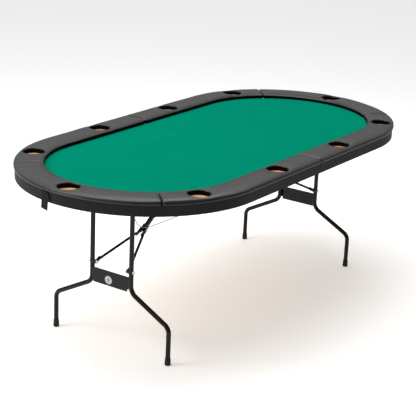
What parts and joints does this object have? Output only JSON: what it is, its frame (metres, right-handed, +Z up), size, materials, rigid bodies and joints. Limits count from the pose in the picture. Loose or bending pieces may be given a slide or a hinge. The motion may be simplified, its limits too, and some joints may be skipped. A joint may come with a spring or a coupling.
{
  "type": "folding poker table",
  "caption": "Stadium-shaped folding poker table with a felt top, padded rim with cup holes, hinged halves and two fold-down tube leg frames with locking braces.",
  "frame": {"origin": "on the floor, under the middle of the top", "axes": "+X along the top from the near end, which carries the strap, to the far end; +Y across the top; +Z up"},
  "size_m": [2.134, 1.067, 0.762],
  "materials": {
    "deck_wood": "raw board",
    "felt": "short napped felt",
    "underlay_foam": "thin foam",
    "skirt": "black textured laminate",
    "rim_vinyl": "black grained vinyl",
    "board_wood": "raw hardboard",
    "batten_wood": "planed softwood",
    "zinc_steel": "zinc plated",
    "leg_paint": "gloss black powder coat",
    "foot_rubber": "moulded rubber",
    "wire_steel": "drawn spring wire",
    "hinge_steel": "zinc plated",
    "webbing": "woven nylon webbing",
    "badge_enamel": "ivory enamel"
  },
  "bodies": {
    "near_half": {"near_deck_board": "deck_wood", "near_felt": "felt", "near_felt_underlay": "underlay_foam", "near_skirt": "skirt", "near_end_pad": "rim_vinyl", "near_back_pad": "rim_vinyl", "near_front_pad": "rim_vinyl", "near_pad_boards": "board_wood", "near_fold_batten": "batten_wood", "near_leg_pivot_brackets": "zinc_steel", "near_brace_anchor": "zinc_steel", "near_anchor_pin": "zinc_steel", "near_wire_eyelets": "zinc_steel", "near_mount_screws": "zinc_steel", "near_hinge_leaves": "hinge_steel", "hinge_pins": "hinge_steel", "closure_strap": "webbing"},
    "near_leg_frame": {"near_leg_back_tube": "leg_paint", "near_leg_front_tube": "leg_paint", "near_pivot_tube": "leg_paint", "near_leg_panel": "leg_paint", "near_foot_caps": "foot_rubber", "near_brace_bosses": "leg_paint", "near_lower_brace_bolts": "zinc_steel", "badge": "badge_enamel"},
    "near_lower_brace": {"near_lower_brace_arms": "leg_paint", "near_lower_brace_rivets": "zinc_steel"},
    "near_upper_brace": {"near_upper_brace_arms": "leg_paint", "near_brace_lock": "leg_paint", "near_brace_pin": "zinc_steel"},
    "near_wire_bail": {"near_brace_wire": "wire_steel"},
    "far_half": {"far_deck_board": "deck_wood", "far_felt": "felt", "far_felt_underlay": "underlay_foam", "far_skirt": "skirt", "far_end_pad": "rim_vinyl", "far_back_pad": "rim_vinyl", "far_front_pad": "rim_vinyl", "far_pad_boards": "board_wood", "far_fold_batten": "batten_wood", "far_leg_pivot_brackets": "zinc_steel", "far_brace_anchor": "zinc_steel", "far_anchor_pin": "zinc_steel", "far_wire_eyelets": "zinc_steel", "far_mount_screws": "zinc_steel", "far_hinge_leaves": "hinge_steel", "strap_patch": "webbing"},
    "far_leg_frame": {"far_leg_back_tube": "leg_paint", "far_leg_front_tube": "leg_paint", "far_pivot_tube": "leg_paint", "far_leg_panel": "leg_paint", "far_foot_caps": "foot_rubber", "far_brace_bosses": "leg_paint", "far_lower_brace_bolts": "zinc_steel"},
    "far_lower_brace": {"far_lower_brace_arms": "leg_paint", "far_lower_brace_rivets": "zinc_steel"},
    "far_upper_brace": {"far_upper_brace_arms": "leg_paint", "far_brace_lock": "leg_paint", "far_brace_pin": "zinc_steel"},
    "far_wire_bail": {"far_brace_wire": "wire_steel"}
  },
  "joints": [
    {"name": "table_fold", "type": "hinge", "parent": "near_half", "child": "far_half", "pos_m": [0, 0, 0.693], "axis": [0, 1, 0], "range_deg": [0, 90]},
    {"name": "near_leg_fold", "type": "hinge", "parent": "near_half", "child": "near_leg_frame", "pos_m": [-0.734, 0, 0.707], "axis": [0, -1, 0], "range_deg": [0, 90]},
    {"name": "near_lower_brace_turn", "type": "hinge", "parent": "near_leg_frame", "child": "near_lower_brace", "pos_m": [-0.734, 0, 0.35], "axis": [0, -1, 0], "range_deg": [0, 64.1]},
    {"name": "near_upper_brace_turn", "type": "hinge", "parent": "near_half", "child": "near_upper_brace", "pos_m": [-0.176, 0, 0.71], "axis": [0, 1, 0], "range_deg": [0, 35.3]},
    {"name": "near_wire_turn", "type": "hinge", "parent": "near_half", "child": "near_wire_bail", "pos_m": [-0.3, 0, 0.7196], "axis": [0, 1, 0], "range_deg": [0, 46.9]},
    {"name": "far_leg_fold", "type": "hinge", "parent": "far_half", "child": "far_leg_frame", "pos_m": [0.734, 0, 0.707], "axis": [0, 1, 0], "range_deg": [0, 90]},
    {"name": "far_lower_brace_turn", "type": "hinge", "parent": "far_leg_frame", "child": "far_lower_brace", "pos_m": [0.734, 0, 0.35], "axis": [0, 1, 0], "range_deg": [0, 64.1]},
    {"name": "far_upper_brace_turn", "type": "hinge", "parent": "far_half", "child": "far_upper_brace", "pos_m": [0.176, 0, 0.71], "axis": [0, -1, 0], "range_deg": [0, 35.3]},
    {"name": "far_wire_turn", "type": "hinge", "parent": "far_half", "child": "far_wire_bail", "pos_m": [0.3, 0, 0.7196], "axis": [0, -1, 0], "range_deg": [0, 46.9]}
  ],
  "couplings": [
    {"joint": "near_lower_brace_turn", "follows": "near_leg_fold", "ratio": 0.7121},
    {"joint": "near_upper_brace_turn", "follows": "near_leg_fold", "ratio": 0.3914},
    {"joint": "near_wire_turn", "follows": "near_leg_fold", "ratio": 0.5209},
    {"joint": "far_lower_brace_turn", "follows": "far_leg_fold", "ratio": 0.7121},
    {"joint": "far_upper_brace_turn", "follows": "far_leg_fold", "ratio": 0.3914},
    {"joint": "far_wire_turn", "follows": "far_leg_fold", "ratio": 0.5209}
  ]
}
